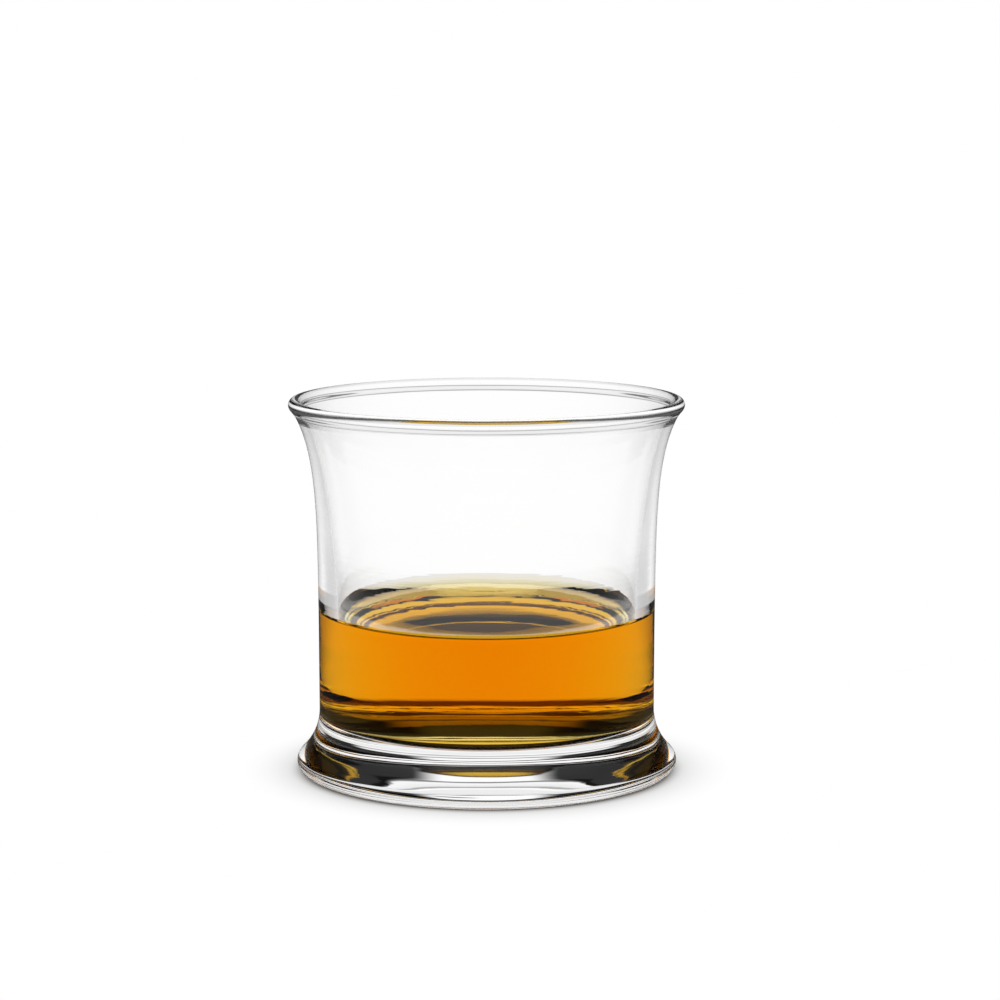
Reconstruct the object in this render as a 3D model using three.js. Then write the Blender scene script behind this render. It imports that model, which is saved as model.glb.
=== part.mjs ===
// A mouth-blown whisky glass with a measure of whisky in it.
// Three pieces, each turned about the vertical axis: the bowl with its flared lip and fire-polished rim,
// the solid foot that is fused hot under the bowl, and the whisky.
// Millimetres, +Z up, with the origin on the table at the middle of the ring that the foot stands on.
import * as THREE from 'three';

// Driving dimensions of the bowl
const RIM_HEIGHT = 80.8;        // top of the rim above the table
const RIM_RADIUS = 42.5;        // widest point of the rim
const RIM_ROLL = 1.3;           // radius of the rim's round roll
const ROLL_NECK = 1.3;          // length in which the roll's extra thickness falls to a third
const LIP_LEAN = 32;            // degrees from upright at which the lip runs into the roll
const LIP_START = 38;           // height from which the outside is drawn as the lip's curve
const LIP_WALL = 2.05;          // wall thickness of the lip
const WALL_RADIUS = 36.3;       // outside of the upright wall
const TAPER_HEIGHT = 71.4;      // height from which down the wall gets thicker than the lip
const TAPER_LEAN = 3.9;         // degrees from upright at which the inside draws in to the floor
const FLOOR_RADIUS = 30.85;     // inside at the floor's height, before its corner is rounded
const FLOOR_HEIGHT = 10;        // edge of the inside floor above the table
const FLOOR_CORNER = 2.5;       // round between the floor and the inside of the wall
const FLOOR_CROWN = 2;          // rise of the floor at its middle

// Driving dimensions of the foot
const FLARE_HEIGHT = 13.5;      // where the upright wall begins to spread into the foot
const JOINT_HEIGHT = 6.5;       // plane in which the foot is fused to the bowl
const FOOT_RADIUS = 41.2;       // widest point of the foot
const FOOT_EDGE = 2.05;         // radius of the foot's rounded edge
const HOLLOW_RADIUS = 33.9;     // inside of the flat ring that stands on the table
const HOLLOW_DEPTH = 1;         // rise of the hollow underside at its middle
const HOLLOW_EASE = 1.5;        // how gently the hollow runs out into the ring, 1 for a sharp corner

// Driving dimensions of the whisky
const WHISKY_LEVEL = 33.5;      // flat part of the surface above the table
const MENISCUS_RISE = 1.75;     // height that the surface climbs at the glass
const MENISCUS_REACH = 2;       // width in which that climb falls to a third
const MENISCUS_SPAN = 7;        // width of the ring that is drawn as a curve
const WHISKY_GAP = 0.3;         // clearance between the whisky and the glass

// Steps of each curve
const TURN_STEPS = 64;
const LIP_STEPS = 10;
const ROLL_STEPS = 7;
const TAPER_STEPS = 6;
const CORNER_STEPS = 4;
const CROWN_STEPS = 6;
const FLARE_STEPS = 3;
const EDGE_STEPS = 5;
const HOLLOW_STEPS = 6;
const MENISCUS_STEPS = 5;

const degrees = THREE.MathUtils.degToRad;
const mix = THREE.MathUtils.lerp;
const steps = (count, pointAt) => Array.from({ length: count + 1 }, (_, i) => pointAt(i / count));

// A circular arc from one angle to another, in radians, as points of a profile of radius and height
function arc(centre, radius, from, to, count) {
  return steps(count, (share) => {
    const angle = mix(from, to, share);
    return new THREE.Vector2(
      centre.x + radius * Math.cos(angle),
      centre.y + radius * Math.sin(angle),
    );
  });
}

// The rim is a round roll, and the lip's wall runs into its middle at LIP_LEAN
const LEAN = degrees(LIP_LEAN);
const ROLL_CENTRE = new THREE.Vector2(RIM_RADIUS - RIM_ROLL, RIM_HEIGHT - RIM_ROLL);
const ROLL_STEP = RIM_ROLL - LIP_WALL / 2;
const LIP_TOP = ROLL_CENTRE.y - (LIP_WALL / 2) * Math.sin(LEAN);
const LIP_FLARE = ROLL_CENTRE.x + (LIP_WALL / 2) * Math.cos(LEAN) - WALL_RADIUS;
const LIP_CURL = LIP_FLARE / Math.tan(LEAN);

// How far the lip stands out from the upright wall at a height
const lipAt = (height) => LIP_FLARE * Math.exp((height - LIP_TOP) / LIP_CURL);

// How far the roll stands out from each side of the lip's wall at a height
function rollAt(height) {
  const below = (LIP_TOP - height) / Math.cos(LEAN);
  return ROLL_STEP * Math.exp(-((below / ROLL_NECK) ** 2));
}

// A point of the lip, at a depth into the wall from its outside and square to it
function lipPoint(height, depth) {
  const slope = Math.atan(lipAt(height) / LIP_CURL);
  return new THREE.Vector2(
    WALL_RADIUS + lipAt(height) - depth * Math.cos(slope),
    height + depth * Math.sin(slope),
  );
}

const outsideAt = (height) => lipPoint(height, -rollAt(height));
const lipInsideAt = (height) => lipPoint(height, LIP_WALL + rollAt(height));

// Below the lip the inside tapers to the floor, and opens into the lip in one smooth curve
const TAPER = degrees(TAPER_LEAN);
const TAPER_TOP = lipInsideAt(TAPER_HEIGHT);
const taperAt = (height) => FLOOR_RADIUS + (height - FLOOR_HEIGHT) * Math.tan(TAPER);
const OPENING = TAPER_TOP.x - taperAt(TAPER_TOP.y);
const OPENING_CURL = OPENING / (lipAt(TAPER_HEIGHT) / LIP_CURL - Math.tan(TAPER));

// The inside of the wall at a height below the lip, set in by a clearance
function insideAt(height, inset) {
  const opening = OPENING * Math.exp((height - TAPER_TOP.y) / OPENING_CURL);
  return new THREE.Vector2(taperAt(height) + opening - inset / Math.cos(TAPER), height);
}

const CORNER_CENTRE = new THREE.Vector2(
  insideAt(FLOOR_HEIGHT + FLOOR_CORNER * (1 - Math.sin(TAPER)), 0).x - FLOOR_CORNER * Math.cos(TAPER),
  FLOOR_HEIGHT + FLOOR_CORNER,
);

// The floor with its crown, from the axis to the corner, set in by a clearance
function crown(inset) {
  return steps(CROWN_STEPS, (share) => new THREE.Vector2(
    CORNER_CENTRE.x * share,
    FLOOR_HEIGHT + FLOOR_CROWN * (1 - share ** 2) ** 2 + inset,
  ));
}

// The cavity's profile from the axis up to a height, set in by a clearance
function cavity(top, inset) {
  const corner = arc(CORNER_CENTRE, FLOOR_CORNER - inset, -Math.PI / 2, -TAPER, CORNER_STEPS);
  const low = corner.at(-1).y;
  return [
    ...crown(inset),
    ...corner.slice(1),
    ...steps(TAPER_STEPS, (share) => insideAt(mix(low, top, share), inset)).slice(1),
  ];
}

// The foot's outside: a hollow arc down from the wall, then the rounded edge, tangent to each other
const FLARE_DROP = FLARE_HEIGHT - FOOT_EDGE;
const FLARE_OUT = FOOT_RADIUS - WALL_RADIUS;
const FLARE_TURN = 2 * Math.atan(FLARE_OUT / FLARE_DROP);
const FLARE_RADIUS = FLARE_DROP / Math.sin(FLARE_TURN) - FOOT_EDGE;
const FLARE_CENTRE = new THREE.Vector2(WALL_RADIUS + FLARE_RADIUS, FLARE_HEIGHT);
const EDGE_CENTRE = new THREE.Vector2(FOOT_RADIUS - FOOT_EDGE, FOOT_EDGE);
const JOINT_TURN = Math.asin((FLARE_HEIGHT - JOINT_HEIGHT) / FLARE_RADIUS);

// The flare's outside between two turns of its arc, from low to high
const flare = (low, high) => arc(
  FLARE_CENTRE, FLARE_RADIUS, Math.PI + low, Math.PI + high, FLARE_STEPS,
);

function bowlProfile() {
  return [
    new THREE.Vector2(0, JOINT_HEIGHT),
    ...flare(JOINT_TURN, 0),
    ...steps(LIP_STEPS, (share) => outsideAt(mix(LIP_TOP, LIP_START, (1 - share) ** 2))),
    ...arc(ROLL_CENTRE, RIM_ROLL, -LEAN, Math.PI - LEAN, ROLL_STEPS).slice(1, -1),
    ...steps(LIP_STEPS, (share) => lipInsideAt(mix(LIP_TOP, TAPER_HEIGHT, share))).slice(0, -1),
    ...cavity(TAPER_TOP.y, 0).reverse(),
  ];
}

function footProfile() {
  return [
    ...steps(HOLLOW_STEPS, (share) => new THREE.Vector2(
      HOLLOW_RADIUS * share,
      HOLLOW_DEPTH * (1 - share ** 2) ** HOLLOW_EASE,
    )),
    ...arc(EDGE_CENTRE, FOOT_EDGE, -Math.PI / 2, FLARE_TURN, EDGE_STEPS),
    ...flare(FLARE_TURN, JOINT_TURN).slice(1),
    new THREE.Vector2(0, JOINT_HEIGHT),
  ];
}

function whiskyProfile() {
  const wetted = cavity(WHISKY_LEVEL + MENISCUS_RISE, WHISKY_GAP);
  const contact = wetted.at(-1);
  const surface = steps(MENISCUS_STEPS, (share) => {
    const away = MENISCUS_SPAN * share ** 2;
    const climb = MENISCUS_RISE * Math.exp(-away / MENISCUS_REACH);
    return new THREE.Vector2(contact.x - away, WHISKY_LEVEL + climb);
  });
  return [
    ...wetted,
    ...surface.slice(1),
    new THREE.Vector2(0, WHISKY_LEVEL),
  ];
}

// One turned piece, with its axis upright
function turned(name, profile, material) {
  const geometry = new THREE.LatheGeometry(profile, TURN_STEPS);
  geometry.rotateX(Math.PI / 2);
  const mesh = new THREE.Mesh(geometry, material);
  mesh.name = name;
  return mesh;
}

const clearGlass = () => new THREE.MeshStandardMaterial({
  color: 0xeef3f3, roughness: 0.05, metalness: 0, transparent: true, opacity: 0.35,
});
const amber = new THREE.MeshStandardMaterial({
  color: 0xe07800, roughness: 0.05, metalness: 0, transparent: true, opacity: 0.8,
});

const group = new THREE.Group();
group.add(turned('bowl', bowlProfile(), clearGlass()));
group.add(turned('foot', footProfile(), clearGlass()));
group.add(turned('whisky', whiskyProfile(), amber));

export default group;
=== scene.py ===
"""A mouth-blown whisky glass with a measure of whisky in it, on a white table in bright-field light."""
import math

import bpy
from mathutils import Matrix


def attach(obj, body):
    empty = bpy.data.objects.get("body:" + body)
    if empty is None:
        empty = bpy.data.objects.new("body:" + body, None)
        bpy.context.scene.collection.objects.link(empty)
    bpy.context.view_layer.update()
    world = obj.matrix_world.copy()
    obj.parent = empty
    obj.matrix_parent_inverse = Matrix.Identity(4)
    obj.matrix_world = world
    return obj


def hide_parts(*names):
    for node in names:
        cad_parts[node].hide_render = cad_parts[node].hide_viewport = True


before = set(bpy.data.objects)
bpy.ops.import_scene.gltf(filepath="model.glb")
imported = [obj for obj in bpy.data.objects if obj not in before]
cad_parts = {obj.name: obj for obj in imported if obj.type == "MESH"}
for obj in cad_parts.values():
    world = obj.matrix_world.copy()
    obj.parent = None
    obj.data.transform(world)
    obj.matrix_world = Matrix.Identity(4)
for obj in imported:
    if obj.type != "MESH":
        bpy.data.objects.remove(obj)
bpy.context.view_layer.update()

MM = 0.001

# Sizes of the bowl, in millimetres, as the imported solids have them
RIM_HEIGHT = 80.8
RIM_RADIUS = 42.5
RIM_ROLL = 1.3
ROLL_NECK = 1.3
LIP_LEAN = math.radians(32)
WALL_RADIUS = 36.3
LIP_WALL = 2.05
RIM_DEPTH = 3.5
TAPER_HEIGHT = 71.4
TAPER_LEAN = math.radians(3.9)
FLOOR_RADIUS = 30.85
FLOOR_HEIGHT = 10.0
FLOOR_CORNER = 2.5
FLOOR_CROWN = 2.0

# Sizes of the foot
FLARE_HEIGHT = 13.5
JOINT_HEIGHT = 6.5
FOOT_RADIUS = 41.2
FOOT_EDGE = 2.05
HOLLOW_RADIUS = 33.9
HOLLOW_DEPTH = 1.0
HOLLOW_EASE = 1.5

# Sizes of the whisky
WHISKY_LEVEL = 33.5
MENISCUS_RISE = 1.75
MENISCUS_REACH = 2.0
WETTING_GAP = 0.01
FILM_DEPTH = 0.02

# Optics: turns are mirrorings inside the glass, and a painted glow stands in for light that is caught in the
# wall, between two heights
GLASS_INDEX = 1.52
WHISKY_INDEX = 1.36
WHISKY_COLOUR = (0.997, 0.85, 0.12, 1.0)
WHISKY_DENSITY = 140.0
MIRROR = (0.1, 0.1, 0.1, 1.0)
TRAPPED_PAINTED_GLOW = 0.6
TRAPPED_TURNS = 3.5
TRAPPED_RISE = (20.0, 26.0)
TRAPPED_FADE = (70.0, 76.0)
# Painted shade on the rim, for light that has turned inside it
RIM_TURNS = 0.5
RIM_PAINTED_SHADE = 0.98

# Fine detail of the finishes, in millimetres and shares, and the floor corner's line of painted shade
STRIA_HEIGHT = 1.6
STRIA_DRAWN = 0.06
STRIA_DEPTH = 0.012
RIPPLE_DEPTH = 0.002
WIPE_SIZE = 9.0
WIPE = 0.014
SWIRL_SIZE = 11.0
SWIRL_TINT = (1.0, 0.97, 0.9, 1.0)
CORNER_LINE = (0.6, 1.4)
CORNER_LINE_TURN = math.radians(45)
CORNER_PAINTED_SHADE = (0.02, 0.006, 0.001, 1.0)

# Steps round the turned meshes, steps of each stretch of their profiles, and their handmade waver
BOWL_STEPS = 320
FOOT_STEPS = 640
OUTSIDE_STEPS = 60
OUTSIDE_CROWDING = 1.5
NECK_STEPS = 20
ROLL_STEPS = 32
WALL_STEPS = 16
FLOOR_STEPS = 20
CORNER_STEPS = 36
SURFACE_STEPS = 48
BOWL_FLARE_STEPS = 16
FOOT_FLARE_STEPS = 24
HOLLOW_STEPS = 24
REST_STEPS = 6
EDGE_STEPS = 72
BOWL_JOINT_STEPS = 4
FOOT_JOINT_STEPS = 2
MERGE = 0.0005
SHARP_ANGLE = math.radians(35)
WAVER = 0.03
WAVER_SIZE = 14.0

# Zones of a profile, each with a finish of its own
OPEN, WETTED, FUSED, RIM = ZONES = (0, 1, 2, 3)

# Table and light, with the table's half width in metres
TABLE_HALF = 6.0
TABLE_GAP = 0.02
TABLE_TONE = 0.9
SHADOW_REACH = 12.0
SHADOW_SAMPLES = 24
SHADOW_TINT = (0.05, 0.04, 0.03, 1.0)
# Painted shade on the table between the panels, seen through glass
SIDE_PAINTED_SHADE = 0.25
SIDE_START = math.radians(24)
SIDE_END = math.radians(40)
IN_GLOSS = 0.06
PANELS = 4
PANEL_HALF = math.radians(33)
PANEL_TOP_HALF = math.radians(14)
PANEL_NARROWS = (6.0, 13.0)
PANEL_SOFT = math.radians(4)

# Tones that show through the glass: the table's by distance in millimetres, with painted shade under the
# foot, the room's by degrees up
TABLE_PAINTED_TONES = ((24.0, 0.6), (32.0, 1.0), (42.0, 1.0), (56.0, 0.85), (140.0, 0.85), (185.0, 1.0))
ROOM_TONES = (
    (0.3, 1.0), (1.5, 0.42), (2.8, 0.42), (4.5, 0.85),
    (8.8, 0.95), (9.8, 0.25), (11.2, 0.25), (12.2, 1.0),
    (18.4, 1.0), (19.6, 0.04), (42.0, 0.04), (46.0, 1.0), (56.6, 1.0), (58.0, 0.06),
)
SIDE_TONES = ((10.0, 0.03), (28.0, 0.05), (36.0, 0.8))
SKY_LIGHT = 1.0

# Camera, in millimetres, degrees and pixels of the photograph
CAMERA_ASIDE = 2.88
CAMERA_AWAY = 650.0
CAMERA_HEIGHT = 152.7
CAMERA_PITCH = 8.24
CAMERA_FOCUS = 3048.0
SENSOR_WIDTH = 36.0
IMAGE_WIDTH = 1000
CLIP_METRES = (0.01, 100.0)

WHITE = (1.0, 1.0, 1.0, 1.0)


# Node trees written as expressions

class Wire:
    """A socket of a node tree. Sums on wires add Math nodes, and node() adds any other node."""

    def __init__(self, tree, socket=None):
        self.tree = tree
        self.socket = socket

    def node(self, kind, sockets=None, out=0, **settings):
        """Adds a node, with its settings first and then the values or wires of its inputs."""
        made = self.tree.nodes.new(kind)
        for name, value in settings.items():
            setattr(made, name, value)
        for name, value in (sockets or {}).items():
            if isinstance(value, Wire):
                self.tree.links.new(value.socket, made.inputs[name])
            else:
                made.inputs[name].default_value = value
        return Wire(self.tree, made.outputs[out] if made.outputs else made.inputs[0])

    def out(self, name):
        """Another output of the same node."""
        return Wire(self.tree, self.socket.node.outputs[name])

    def into(self, socket):
        """Links the wire to an input of a node that is already there."""
        self.tree.links.new(self.socket, socket)

    def maths(self, operation, first, second=0.0):
        return self.node("ShaderNodeMath", {0: first, 1: second}, operation=operation)

    def __add__(self, other):
        return self.maths("ADD", self, other)

    def __radd__(self, other):
        return self.maths("ADD", other, self)

    def __sub__(self, other):
        return self.maths("SUBTRACT", self, other)

    def __rsub__(self, other):
        return self.maths("SUBTRACT", other, self)

    def __mul__(self, other):
        return self.maths("MULTIPLY", self, other)

    def __rmul__(self, other):
        return self.maths("MULTIPLY", other, self)

    def __truediv__(self, other):
        return self.maths("DIVIDE", self, other)

    def __rtruediv__(self, other):
        return self.maths("DIVIDE", other, self)

    def __mod__(self, other):
        return self.maths("MODULO", self, other)

    def over(self, limit):
        return self.maths("GREATER_THAN", self, limit)

    def floor(self):
        return self.maths("FLOOR", self)

    def most(self, other):
        return self.maths("MAXIMUM", self, other)

    def tint(self, low, high):
        """The colour low where the wire is 0, and high where it is 1."""
        return self.node("ShaderNodeMix", {0: self, 6: low, 7: high}, 2, data_type="RGBA")

    def step(self, low, high):
        """0 below low and 1 above high, with a smooth step between."""
        return self.node(
            "ShaderNodeMapRange",
            {"Value": self, "From Min": low, "From Max": high},
            interpolation_type="SMOOTHSTEP",
        )


def graded(value, stops):
    """The tone of a wire's value from stops of value and tone, with a smooth step from each to the next."""
    tone = stops[0][1]
    for (low, before), (high, after) in zip(stops, stops[1:]):
        tone = tone + value.step(low, high) * (after - before)
    return tone


# Profiles of radius and height, in millimetres

def shares(count):
    """Even shares from 0 to 1, both ends included."""
    return [i / count for i in range(count + 1)]


def arc(centre, radius, start, end, count):
    """Points of a circular arc between two angles in radians."""
    turns = [start + (end - start) * share for share in shares(count)]
    return [(centre[0] + radius * math.cos(turn), centre[1] + radius * math.sin(turn)) for turn in turns]


def line(start, end, count):
    """Points evenly along a straight stretch."""
    return [
        (start[0] + (end[0] - start[0]) * share, start[1] + (end[1] - start[1]) * share)
        for share in shares(count)
    ]


ROLL_CENTRE = (RIM_RADIUS - RIM_ROLL, RIM_HEIGHT - RIM_ROLL)
ROLL_STEP = RIM_ROLL - LIP_WALL / 2
LIP_TOP = ROLL_CENTRE[1] - LIP_WALL / 2 * math.sin(LIP_LEAN)
LIP_FLARE = ROLL_CENTRE[0] + LIP_WALL / 2 * math.cos(LIP_LEAN) - WALL_RADIUS
LIP_CURL = LIP_FLARE / math.tan(LIP_LEAN)


def lip_at(height):
    """How far the lip stands out from the upright wall at a height."""
    return LIP_FLARE * math.exp((height - LIP_TOP) / LIP_CURL)


def lip_point(height, depth):
    """A point of the lip, at a depth into the wall from its outside and square to it."""
    slope = math.atan(lip_at(height) / LIP_CURL)
    return (WALL_RADIUS + lip_at(height) - depth * math.cos(slope), height + depth * math.sin(slope))


def roll_at(height):
    """How far the rim's roll stands out from each side of the wall at a height."""
    below = (LIP_TOP - height) / math.cos(LIP_LEAN)
    return ROLL_STEP * math.exp(-((below / ROLL_NECK) ** 2))


def outside_at(height):
    """The outside of the wall at a height."""
    return lip_point(height, -roll_at(height))


def lip_inside_at(height):
    """The inside of the lip at a height."""
    return lip_point(height, LIP_WALL + roll_at(height))


TAPER_TOP = lip_inside_at(TAPER_HEIGHT)


def taper_at(height):
    """The radius of the tapering inside at a height, without its opening into the lip."""
    return FLOOR_RADIUS + (height - FLOOR_HEIGHT) * math.tan(TAPER_LEAN)


OPENING = TAPER_TOP[0] - taper_at(TAPER_TOP[1])
OPENING_CURL = OPENING / (lip_at(TAPER_HEIGHT) / LIP_CURL - math.tan(TAPER_LEAN))


def inside_at(height, inset=0.0):
    """The inside of the wall at a height below the lip, set in by a clearance."""
    opening = OPENING * math.exp((height - TAPER_TOP[1]) / OPENING_CURL)
    return (taper_at(height) + opening - inset / math.cos(TAPER_LEAN), height)


CORNER_END = inside_at(FLOOR_HEIGHT + FLOOR_CORNER * (1 - math.sin(TAPER_LEAN)))
CORNER_CENTRE = (CORNER_END[0] - FLOOR_CORNER * math.cos(TAPER_LEAN), FLOOR_HEIGHT + FLOOR_CORNER)
CONTACT_HEIGHT = WHISKY_LEVEL + MENISCUS_RISE

FLARE_DROP = FLARE_HEIGHT - FOOT_EDGE
FLARE_TURN = 2 * math.atan((FOOT_RADIUS - WALL_RADIUS) / FLARE_DROP)
FLARE_RADIUS = FLARE_DROP / math.sin(FLARE_TURN) - FOOT_EDGE
FLARE_CENTRE = (WALL_RADIUS + FLARE_RADIUS, FLARE_HEIGHT)
EDGE_CENTRE = (FOOT_RADIUS - FOOT_EDGE, FOOT_EDGE)
JOINT_TURN = math.asin((FLARE_HEIGHT - JOINT_HEIGHT) / FLARE_RADIUS)
JOINT_RADIUS = FLARE_CENTRE[0] - FLARE_RADIUS * math.cos(JOINT_TURN)


def flare(low, high, count):
    """The foot's hollow outside between two turns of its arc."""
    return arc(FLARE_CENTRE, FLARE_RADIUS, math.pi + low, math.pi + high, count)


def floor_points(inset):
    """The cavity's floor from the axis to the corner, with its crown."""
    reach = CORNER_CENTRE[0]
    return [
        (reach * share, FLOOR_HEIGHT + inset + FLOOR_CROWN * (1 - share ** 2) ** 2)
        for share in shares(FLOOR_STEPS)
    ]


def inside_points(low, high, inset):
    """The inside of the wall between two heights, from low to high."""
    return [inside_at(low + (high - low) * share, inset) for share in shares(WALL_STEPS)]


def wetted_points(inset):
    """The cavity from the axis up to the line where the whisky's surface meets the glass."""
    corner = arc(CORNER_CENTRE, FLOOR_CORNER - inset, -math.pi / 2, -TAPER_LEAN, CORNER_STEPS)
    wall = inside_points(corner[-1][1], CONTACT_HEIGHT, inset)
    return floor_points(inset) + corner[1:] + wall[1:]


def surface_points(inset, drop):
    """The whisky's surface from the glass to the axis, with the climb of its meniscus."""
    edge = inside_at(CONTACT_HEIGHT, inset)[0]
    points = []
    for share in shares(SURFACE_STEPS):
        away = edge * share ** 2
        climb = MENISCUS_RISE * math.exp(-away / MENISCUS_REACH)
        points.append((edge - away, WHISKY_LEVEL + climb - drop))
    return points


def joined(*stretches):
    """One profile with the zone of each of its edges, from stretches of points that meet end to end."""
    points = [stretches[0][0][0]]
    zones = []
    for stretch, zone in stretches:
        points += stretch[1:]
        zones += [zone] * (len(stretch) - 1)
    return points, zones


def bowl_profile():
    """The bowl from the joint's middle up its outside, over the rim and down its inside."""
    neck = LIP_TOP - RIM_DEPTH
    rise = FLARE_HEIGHT - neck
    heights = [neck + rise * (1 - share) ** OUTSIDE_CROWDING for share in shares(OUTSIDE_STEPS)]
    outside = [(WALL_RADIUS, FLARE_HEIGHT)] + [outside_at(height) for height in heights[1:]]
    heights = [neck + RIM_DEPTH * share for share in shares(NECK_STEPS)]
    rim = [outside_at(height) for height in heights]
    rim += arc(ROLL_CENTRE, RIM_ROLL, -LIP_LEAN, math.pi - LIP_LEAN, ROLL_STEPS)[1:-1]
    rim += [lip_inside_at(height) for height in heights[::-1]]
    heights = [neck + (TAPER_HEIGHT - neck) * share for share in shares(WALL_STEPS)]
    inside = [lip_inside_at(height) for height in heights]
    return joined(
        (line((0, JOINT_HEIGHT), (JOINT_RADIUS, JOINT_HEIGHT), BOWL_JOINT_STEPS), FUSED),
        (flare(JOINT_TURN, 0, BOWL_FLARE_STEPS), OPEN),
        (outside, OPEN),
        (rim, RIM),
        (inside, OPEN),
        (inside_points(CONTACT_HEIGHT, TAPER_TOP[1], 0.0)[::-1], OPEN),
        (wetted_points(0.0)[::-1], WETTED),
    )


def foot_profile():
    """The foot from the middle of its hollow out over its edge and up to the joint's middle."""
    hollow = [
        (HOLLOW_RADIUS * share, HOLLOW_DEPTH * (1 - share ** 2) ** HOLLOW_EASE)
        for share in shares(HOLLOW_STEPS)
    ]
    return joined(
        (hollow, OPEN),
        (line((HOLLOW_RADIUS, 0), (EDGE_CENTRE[0], 0), REST_STEPS), OPEN),
        (arc(EDGE_CENTRE, FOOT_EDGE, -math.pi / 2, FLARE_TURN, EDGE_STEPS), OPEN),
        (flare(FLARE_TURN, JOINT_TURN, FOOT_FLARE_STEPS), OPEN),
        (line((JOINT_RADIUS, JOINT_HEIGHT), (0, JOINT_HEIGHT), FOOT_JOINT_STEPS), FUSED),
    )


def whisky_profile():
    """The drink from its floor up the glass and over its top, which lies under the film."""
    wetted = wetted_points(WETTING_GAP)
    top = surface_points(WETTING_GAP, 2 * FILM_DEPTH)
    side = wetted[:-1] + [top[0]]
    return joined((side, OPEN), (top, OPEN))


def film_profile():
    """The thin film that is the drink's surface: its underside, its edge and its top."""
    top = surface_points(WETTING_GAP, 0.0)
    under = surface_points(WETTING_GAP, FILM_DEPTH)[::-1]
    return joined((under, FUSED), ([under[-1], top[0]], FUSED), (top, WETTED))


# Turned meshes, made by one geometry node tree

def turning_tree():
    """Turns a profile about the upright axis, wavers it a little and gives each zone its finish."""
    tree = bpy.data.node_groups.new("turned_about_axis", "GeometryNodeTree")

    def socket(name, kind, way="INPUT"):
        tree.interface.new_socket(name, in_out=way, socket_type=kind)

    socket("Profile", "NodeSocketGeometry")
    socket("Turn Steps", "NodeSocketInt")
    socket("Waver", "NodeSocketFloat")
    socket("Waver Size", "NodeSocketFloat")
    for zone in ZONES:
        socket(f"Finish {zone}", "NodeSocketMaterial")
    socket("Piece", "NodeSocketGeometry", "OUTPUT")

    given = Wire(tree).node("NodeGroupInput")
    profile = given.out("Profile")
    steps = given.out("Turn Steps")
    rows = given.node(
        "GeometryNodeAttributeDomainSize", {"Geometry": profile}, "Point Count", component="MESH"
    )
    grid = given.node("GeometryNodeMeshGrid", {"Vertices X": steps + 1, "Vertices Y": rows})
    index = given.node("GeometryNodeInputIndex")
    along = index % rows
    turn = (index / rows).floor() / steps * math.tau
    point = given.node(
        "GeometryNodeSampleIndex",
        {"Geometry": profile, "Value": given.node("GeometryNodeInputPosition"), "Index": along},
        data_type="FLOAT_VECTOR",
    )
    parts = given.node("ShaderNodeSeparateXYZ", {"Vector": point})
    radius = parts.out("X")
    placed = given.node("ShaderNodeCombineXYZ", {
        "X": radius * given.maths("COSINE", turn),
        "Y": radius * given.maths("SINE", turn),
        "Z": parts.out("Z"),
    })

    # Each face keeps the zone of the profile's edge that it was turned from
    halfway = given.node("GeometryNodeFieldOnDomain", {"Value": along}, domain="POINT")
    zone = given.node(
        "GeometryNodeSampleIndex",
        {
            "Geometry": profile,
            "Value": given.node("GeometryNodeInputNamedAttribute", {"Name": "zone"}, data_type="INT"),
            "Index": halfway.floor(),
        },
        data_type="INT",
        domain="EDGE",
    )
    zoned = given.node(
        "GeometryNodeStoreNamedAttribute",
        {"Geometry": grid, "Name": "zone", "Value": zone},
        data_type="INT",
        domain="FACE",
    )
    shaped = given.node("GeometryNodeSetPosition", {"Geometry": zoned, "Position": placed})
    closed = given.node("GeometryNodeMergeByDistance", {"Geometry": shaped, "Distance": MERGE * MM})

    # The waver is one field in space, so surfaces that touch waver together. It fades out at the table,
    # and twice the noise round its middle gives a waver from -1 to 1.
    where = given.node("GeometryNodeInputPosition")
    noise = given.node("ShaderNodeTexNoise", {
        "Vector": where,
        "Scale": 1 / given.out("Waver Size"),
        "Detail": 1.0,
    }, "Color")
    centred = given.node("ShaderNodeVectorMath", {0: noise, 1: (0.5, 0.5, 0.5)}, operation="SUBTRACT")
    height = given.node("ShaderNodeSeparateXYZ", {"Vector": where}).out("Z")
    amount = given.out("Waver") * height.step(0.0, FOOT_EDGE * MM) * 2
    waver = given.node("ShaderNodeVectorMath", {0: centred, "Scale": amount}, operation="SCALE")
    piece = given.node("GeometryNodeSetPosition", {"Geometry": closed, "Offset": waver})
    piece = given.node("GeometryNodeSetShadeSmooth", {"Geometry": piece, "Shade Smooth": True})
    piece = given.node("GeometryNodeRealizeInstances", {"Geometry": piece})
    stored = given.node("GeometryNodeInputNamedAttribute", {"Name": "zone"}, data_type="INT")
    for zone in ZONES:
        chosen = given.node(
            "FunctionNodeCompare", {2: stored, 3: zone}, data_type="INT", operation="EQUAL"
        )
        piece = given.node("GeometryNodeSetMaterial", {
            "Geometry": piece,
            "Selection": chosen,
            "Material": given.out(f"Finish {zone}"),
        })
    given.node("NodeGroupOutput", {"Piece": piece})
    return tree


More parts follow.
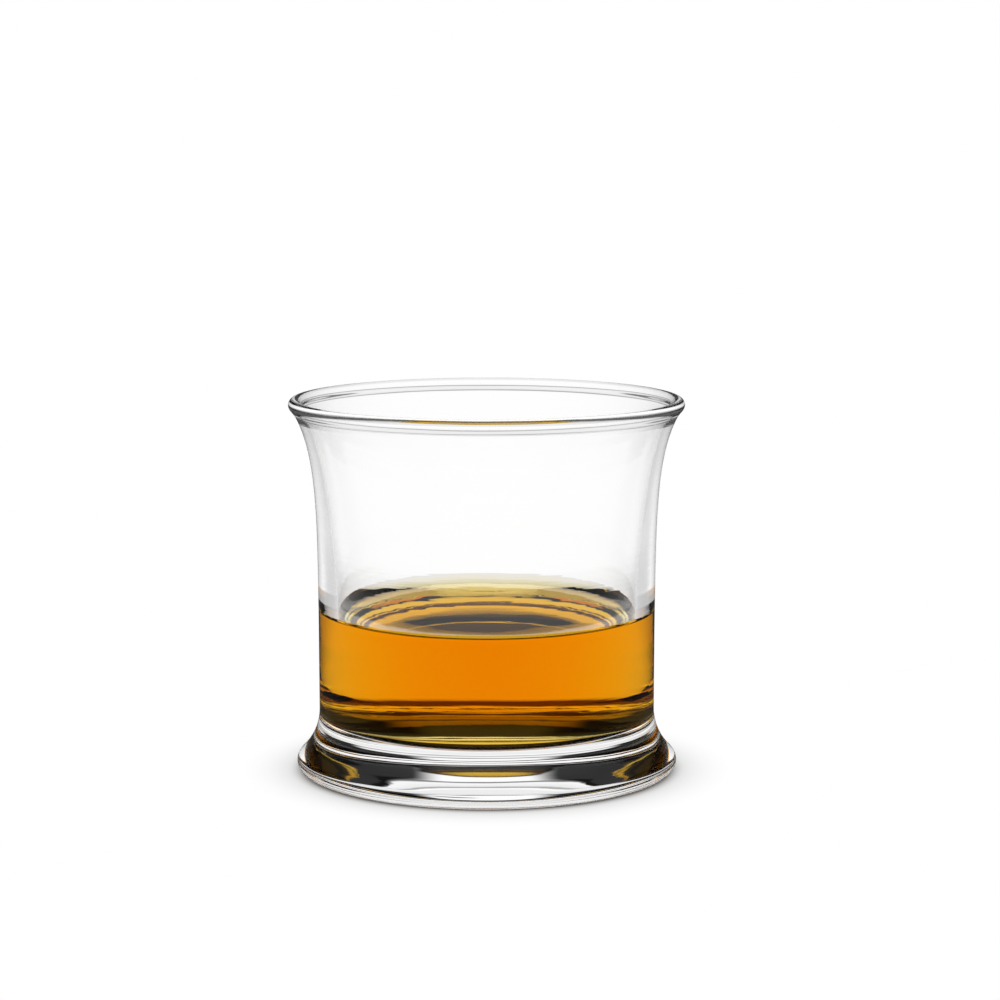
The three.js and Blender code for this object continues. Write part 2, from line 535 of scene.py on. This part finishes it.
def turned(name, tree, profile, steps, finishes):
    """A plain mesh object turned from a profile of points and zones."""
    points, zones = profile
    mesh = bpy.data.meshes.new(f"{name}_profile")
    edges = [(i, i + 1) for i in range(len(points) - 1)]
    mesh.from_pydata([(r * MM, 0.0, z * MM) for r, z in points], edges, [])
    mesh.attributes.new("zone", "INT", "EDGE").data.foreach_set("value", zones)
    lathe = bpy.data.objects.new(f"{name}_lathe", mesh)
    bpy.context.scene.collection.objects.link(lathe)
    modifier = lathe.modifiers.new("turned", "NODES")
    modifier.node_group = tree
    values = {"Turn Steps": steps, "Waver": WAVER * MM, "Waver Size": WAVER_SIZE * MM}
    for zone in ZONES:
        values[f"Finish {zone}"] = finishes.get(zone)
    for item in tree.interface.items_tree:
        if item.name in values:
            modifier[item.identifier] = values[item.name]
    graph = bpy.context.evaluated_depsgraph_get()
    made = bpy.data.meshes.new_from_object(lathe.evaluated_get(graph))
    bpy.data.objects.remove(lathe)
    made.name = name
    made.set_sharp_from_angle(angle=SHARP_ANGLE)
    piece = bpy.data.objects.new(name, made)
    bpy.context.scene.collection.objects.link(piece)
    return piece


# Finishes

def new_material(name):
    """A material with its own nodes."""
    material = bpy.data.materials.new(name)
    material.use_nodes = True
    return material


def principled(material):
    """The material's main shader."""
    return material.node_tree.nodes["Principled BSDF"]


def clear(name, index):
    """Clear glass or liquid of a refractive index, with part of its mirror taken off."""
    material = new_material(name)
    shader = principled(material)
    shader.inputs["Base Color"].default_value = WHITE
    shader.inputs["Roughness"].default_value = 0.0
    shader.inputs["IOR"].default_value = index
    shader.inputs["Transmission Weight"].default_value = 1.0
    shader.inputs["Specular Tint"].default_value = MIRROR
    return material


def noise(start, size, stretch=(1.0, 1.0, 1.0), detail=2.0):
    """Noise from 0 to 1 with features of a size in millimetres, drawn out where the stretch is below 1."""
    spot = start.node("ShaderNodeTexCoord", out="Object")
    drawn = start.node("ShaderNodeMapping", {"Vector": spot, "Scale": stretch})
    return start.node("ShaderNodeTexNoise", {"Vector": drawn, "Scale": 1 / (size * MM), "Detail": detail})


def bumped(material, height, depth):
    """Raises and lowers the surface by a pattern of a depth in millimetres."""
    bump = height.node("ShaderNodeBump", {"Strength": 1.0, "Distance": depth * MM, "Height": height})
    bump.into(principled(material).inputs["Normal"])


def blown(name, index):
    """Handmade glass: striae drawn out round it, and the slightest wipe marks in its polish."""
    material = clear(name, index)
    start = Wire(material.node_tree)
    bumped(material, noise(start, STRIA_HEIGHT, (STRIA_DRAWN, STRIA_DRAWN, 1.0)), STRIA_DEPTH)
    wiped = noise(start, WIPE_SIZE) * WIPE
    wiped.into(principled(material).inputs["Roughness"])
    return material


def bowl_glass(name, index):
    """The wall's glass, in whose upper part a painted white glow shows where light caught by many turns ends.
    """
    material = blown(name, index)
    start = Wire(material.node_tree)
    turns = start.node("ShaderNodeLightPath", out="Glossy Depth")
    spot = start.node("ShaderNodeTexCoord", out="Object")
    height = start.node("ShaderNodeSeparateXYZ", {"Vector": spot}).out("Z")
    along = (height / MM).step(*TRAPPED_RISE) * (1 - (height / MM).step(*TRAPPED_FADE))
    # Painted glow: emission on the glass in place of the light lost after many turns
    painted_glow = turns.over(TRAPPED_TURNS) * along * TRAPPED_PAINTED_GLOW
    shader = principled(material)
    painted_glow.into(shader.inputs["Emission Color"])
    shader.inputs["Emission Strength"].default_value = 1.0
    material.cycles.emission_sampling = "NONE"
    return material


def wetted_glass():
    """The inside under the drink, with a dark line of painted shade at its tight floor corner."""
    material = bowl_glass("wetted_glass", GLASS_INDEX / WHISKY_INDEX)
    start = Wire(material.node_tree)
    spot = start.node("ShaderNodeTexCoord", out="Object")
    parts = start.node("ShaderNodeSeparateXYZ", {"Vector": spot})
    x = parts.out("X")
    y = parts.out("Y")
    radius = start.maths("SQRT", x * x + y * y) / MM
    out = radius - CORNER_CENTRE[0] - FLOOR_CORNER * math.cos(CORNER_LINE_TURN)
    up = parts.out("Z") / MM - CORNER_CENTRE[1] + FLOOR_CORNER * math.sin(CORNER_LINE_TURN)
    # Painted shade: a dark line on the glass along the floor corner
    corner = 1 - start.maths("SQRT", out * out + up * up).step(*CORNER_LINE)
    corner.tint(WHITE, CORNER_PAINTED_SHADE).into(principled(material).inputs["Base Color"])
    return material


def rim_glass():
    """The fire-polished rim, with painted shade: its colour goes nearly black for light that has turned
    inside it.
    """
    material = blown("rim_glass", GLASS_INDEX)
    turns = Wire(material.node_tree).node("ShaderNodeLightPath", out="Glossy Depth")
    # Painted shade: the rim's colour darkens once light has turned inside it
    painted_rim_tone = 1 - RIM_PAINTED_SHADE * turns.over(RIM_TURNS)
    painted_rim_tone.into(principled(material).inputs["Base Color"])
    return material


def passing(name):
    """Fused glass, or liquid on liquid: a boundary that light crosses unbent."""
    material = clear(name, 1.0)
    principled(material).inputs["Alpha"].default_value = 0.0
    return material


def whisky_body():
    """Amber liquid with a faint swirl: it takes out blue light soon and green light later."""
    material = clear("whisky_body", 1.0)
    tree = material.node_tree
    start = Wire(tree)
    swirl = noise(start, SWIRL_SIZE).tint(WHITE, SWIRL_TINT)
    swirl.into(principled(material).inputs["Base Color"])
    depth = start.node("ShaderNodeVolumeAbsorption", {"Color": WHISKY_COLOUR, "Density": WHISKY_DENSITY})
    depth.into(tree.nodes["Material Output"].inputs["Volume"])
    return material


def whisky_surface():
    """The still surface of the drink, with the faintest ripple."""
    material = clear("whisky_surface", WHISKY_INDEX)
    bumped(material, noise(Wire(material.node_tree), WIPE_SIZE), RIPPLE_DEPTH)
    return material


# Pieces

def build():
    """The pieces of the glass and its drink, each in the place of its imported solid."""
    tree = turning_tree()
    glass = bowl_glass("bowl_glass", GLASS_INDEX)
    rim = rim_glass()
    solid = blown("foot_glass", GLASS_INDEX)
    wetted = wetted_glass()
    fused = passing("fused_glass")
    body = whisky_body()
    surface = whisky_surface()

    bowl_finishes = {OPEN: glass, WETTED: wetted, FUSED: fused, RIM: rim}
    bowl = turned("bowl_glass", tree, bowl_profile(), BOWL_STEPS, bowl_finishes)
    foot = turned("foot_glass", tree, foot_profile(), FOOT_STEPS, {OPEN: solid, FUSED: fused})
    drink = turned("whisky_measure", tree, whisky_profile(), BOWL_STEPS, {OPEN: body})
    film = turned("whisky_surface", tree, film_profile(), BOWL_STEPS, {WETTED: surface, FUSED: fused})
    for piece, node, slot in (
        (bowl, "bowl", "clear_glass"),
        (foot, "foot", "clear_glass"),
        (drink, "whisky", "whisky"),
        (film, "whisky", "whisky"),
    ):
        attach(piece, "root")
        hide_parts(node)


# Stage, light and camera

def aside(start, x, y):
    """How far a direction lies from the middle of the nearest of the room's panels, in radians."""
    round_room = start.maths("ARCTAN2", x, y) * PANELS
    return start.maths("ARCCOSINE", start.maths("COSINE", round_room)) / PANELS


def table():
    """A white table with a shadow where the foot stands, and graded tones of painted shade where it shows
    through glass.
    """
    mesh = bpy.data.meshes.new("table")
    half = TABLE_HALF
    corners = [(-half, -half, 0), (half, -half, 0), (half, half, 0), (-half, half, 0)]
    mesh.from_pydata(corners, [], [(0, 1, 2, 3)])
    plate = bpy.data.objects.new("table", mesh)
    plate.location.z = -TABLE_GAP * MM
    bpy.context.scene.collection.objects.link(plate)
    material = new_material("white_table")
    tree = material.node_tree
    start = Wire(tree)
    shader = principled(material)
    shader.inputs["Base Color"].default_value = (TABLE_TONE, TABLE_TONE, TABLE_TONE, 1.0)
    shader.inputs["Roughness"].default_value = 1.0
    shader.inputs["Specular IOR Level"].default_value = 0.0

    path = start.node("ShaderNodeLightPath", out="Is Camera Ray")
    through = path.out("Is Transmission Ray")
    gloss = path.out("Is Glossy Ray")
    mirrored = gloss * (1 - through)
    open_sky = start.node(
        "ShaderNodeAmbientOcclusion", {"Distance": SHADOW_REACH * MM}, "AO", samples=SHADOW_SAMPLES
    )
    shadow = open_sky.tint(SHADOW_TINT, WHITE)
    direct = start.node("ShaderNodeEmission", {"Color": shadow, "Strength": 1.0})

    # Seen through the glass, the table has painted shade under the foot and, farther out, between the panels
    spot = start.node("ShaderNodeTexCoord", out="Object")
    away = start.node("ShaderNodeVectorMath", {0: spot}, "Value", operation="LENGTH") / MM
    parts = start.node("ShaderNodeSeparateXYZ", {"Vector": spot})
    side = aside(start, parts.out("X"), parts.out("Y")).step(SIDE_START, SIDE_END)
    side = side * away.step(FOOT_RADIUS, 2 * FOOT_RADIUS)
    tone = graded(away, TABLE_PAINTED_TONES) * (1 - SIDE_PAINTED_SHADE * side)
    level = tone * (through + mirrored * IN_GLOSS)
    seen = start.node("ShaderNodeEmission", {"Color": level, "Strength": 1.0})
    lighted = start.node("ShaderNodeMixShader", {
        0: through.most(gloss),
        1: Wire(tree, shader.outputs[0]),
        2: seen,
    })
    mixed = start.node("ShaderNodeMixShader", {0: path, 1: lighted, 2: direct})
    mixed.into(tree.nodes["Material Output"].inputs["Surface"])
    mesh.materials.append(material)


def studio():
    """A room, white to the eye; through glass, white panels with dark strips stand on four sides of it."""
    world = bpy.data.worlds.new("studio")
    world.use_nodes = True
    bpy.context.scene.world = world
    tree = world.node_tree
    start = Wire(tree)
    way = start.node("ShaderNodeTexCoord", out="Generated")
    parts = start.node("ShaderNodeSeparateXYZ", {"Vector": way})
    height = start.maths("ARCSINE", parts.out("Z")) / math.radians(1)

    turn = aside(start, parts.out("X"), parts.out("Y"))
    half = PANEL_HALF - (PANEL_HALF - PANEL_TOP_HALF) * height.step(*PANEL_NARROWS)
    side = (turn - half).step(-PANEL_SOFT, PANEL_SOFT)
    room = graded(height, ROOM_TONES) * (1 - side * (1 - graded(height, SIDE_TONES)))
    path = start.node("ShaderNodeLightPath", out="Is Camera Ray")
    through = path.out("Is Transmission Ray")
    gloss = path.out("Is Glossy Ray")
    mirrored = gloss * (1 - through)
    seen = path + room * (through + mirrored * IN_GLOSS)
    falling = 1 - path.most(through).most(gloss)
    level = seen + falling * SKY_LIGHT
    background = tree.nodes["Background"]
    background.inputs["Color"].default_value = WHITE
    level.into(background.inputs["Strength"])


def camera():
    """The camera where the photograph was taken from."""
    data = bpy.data.cameras.new("camera")
    data.sensor_width = SENSOR_WIDTH
    data.lens = SENSOR_WIDTH * CAMERA_FOCUS / IMAGE_WIDTH
    data.clip_start, data.clip_end = CLIP_METRES
    eye = bpy.data.objects.new("camera", data)
    eye.location = (CAMERA_ASIDE * MM, -CAMERA_AWAY * MM, CAMERA_HEIGHT * MM)
    eye.rotation_euler = (math.radians(90 - CAMERA_PITCH), 0.0, 0.0)
    bpy.context.scene.collection.objects.link(eye)
    bpy.context.scene.camera = eye


bpy.context.scene.view_settings.view_transform = "Standard"
camera()
studio()
table()
build()
